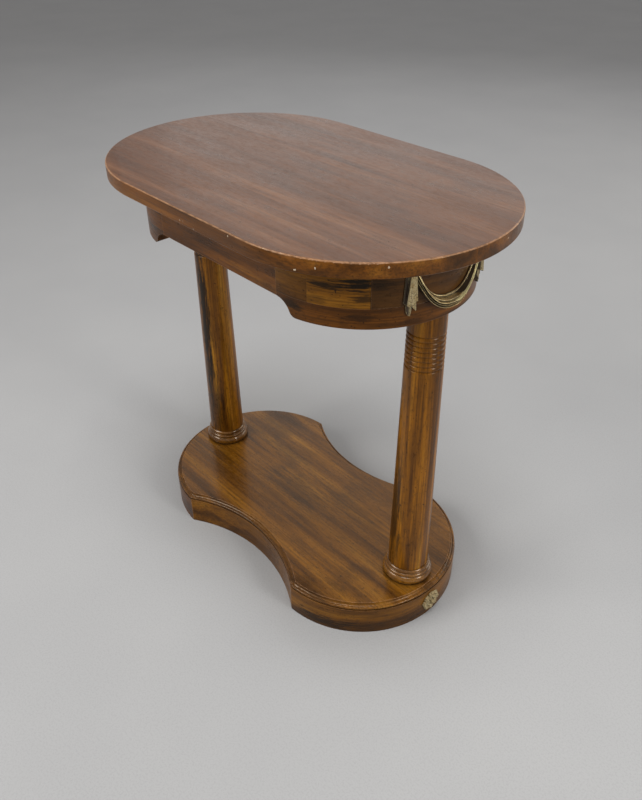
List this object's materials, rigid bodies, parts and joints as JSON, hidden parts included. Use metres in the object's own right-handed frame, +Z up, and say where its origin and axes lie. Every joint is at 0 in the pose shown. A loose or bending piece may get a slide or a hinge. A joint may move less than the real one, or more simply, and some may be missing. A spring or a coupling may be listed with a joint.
{
  "type": "side table",
  "caption": "Oval side table on turned ringed columns and a waisted plinth, with a curved drawer in one end and brass swag mounts.",
  "frame": {"origin": "centre of the footprint, on the floor under the plinth", "axes": "+Z up; +X along the length, out of the end that holds the drawer; +Y across the width"},
  "size_m": [0.605, 0.371, 0.61],
  "materials": {
    "top_walnut": "satin lacquer over brown stain",
    "apron_walnut": "satin lacquer over brown stain",
    "column_walnut": "satin lacquer, golden brown",
    "plinth_walnut": "satin lacquer over brown stain",
    "inner_wood": "unfinished secondary wood",
    "aged_brass": "aged, rubbed bright on the high parts",
    "steel_fixings": "zinc plated"
  },
  "bodies": {
    "frame": {"base_board": "plinth_walnut", "column_bearer_far": "inner_wood", "column_bearer_near": "inner_wood", "column_block_far": "inner_wood", "column_block_near": "inner_wood", "column_bolts": "steel_fixings", "column_far": "column_walnut", "column_foot_far": "column_walnut", "column_foot_near": "column_walnut", "column_near": "column_walnut", "column_washers": "steel_fixings", "corner_blocks": "inner_wood", "drawer_guide_left": "inner_wood", "drawer_guide_right": "inner_wood", "drawer_kicker_left": "inner_wood", "drawer_kicker_right": "inner_wood", "drawer_runner_left": "inner_wood", "drawer_runner_right": "inner_wood", "drawer_stop_rail": "inner_wood", "drawer_stops": "inner_wood", "far_festoon": "aged_brass", "far_jabot_left": "aged_brass", "far_jabot_right": "aged_brass", "far_swag_screws": "steel_fixings", "frieze_block_far_1": "apron_walnut", "frieze_block_far_2": "apron_walnut", "frieze_block_far_3": "apron_walnut", "frieze_block_near_1": "apron_walnut", "frieze_block_near_2": "apron_walnut", "frieze_block_near_3": "apron_walnut", "frieze_block_near_4": "apron_walnut", "lower_end_rail_far": "apron_walnut", "lower_end_rail_near": "apron_walnut", "plinth_blocks": "inner_wood", "plinth_end_far": "plinth_walnut", "plinth_end_near": "plinth_walnut", "plinth_side_left": "plinth_walnut", "plinth_side_right": "plinth_walnut", "rosette_far": "aged_brass", "rosette_near": "aged_brass", "runner_screws": "steel_fixings", "side_rail_left": "apron_walnut", "side_rail_right": "apron_walnut", "top_board_1": "top_walnut", "top_board_2": "top_walnut", "top_board_3": "top_walnut", "top_board_4": "top_walnut", "top_board_5": "top_walnut", "top_screws": "steel_fixings"},
    "drawer": {"drawer_front": "apron_walnut", "drawer_side_left": "inner_wood", "drawer_side_right": "inner_wood", "drawer_back": "inner_wood", "drawer_bottom": "inner_wood", "drawer_stop_tab": "inner_wood", "near_swag_screws": "steel_fixings", "near_festoon": "aged_brass", "near_jabot_left": "aged_brass", "near_jabot_right": "aged_brass"}
  },
  "joints": [
    {"name": "drawer_slide", "type": "slide", "parent": "frame", "child": "drawer", "axis": [1, 0, 0], "range_m": [0, 0.2]}
  ]
}
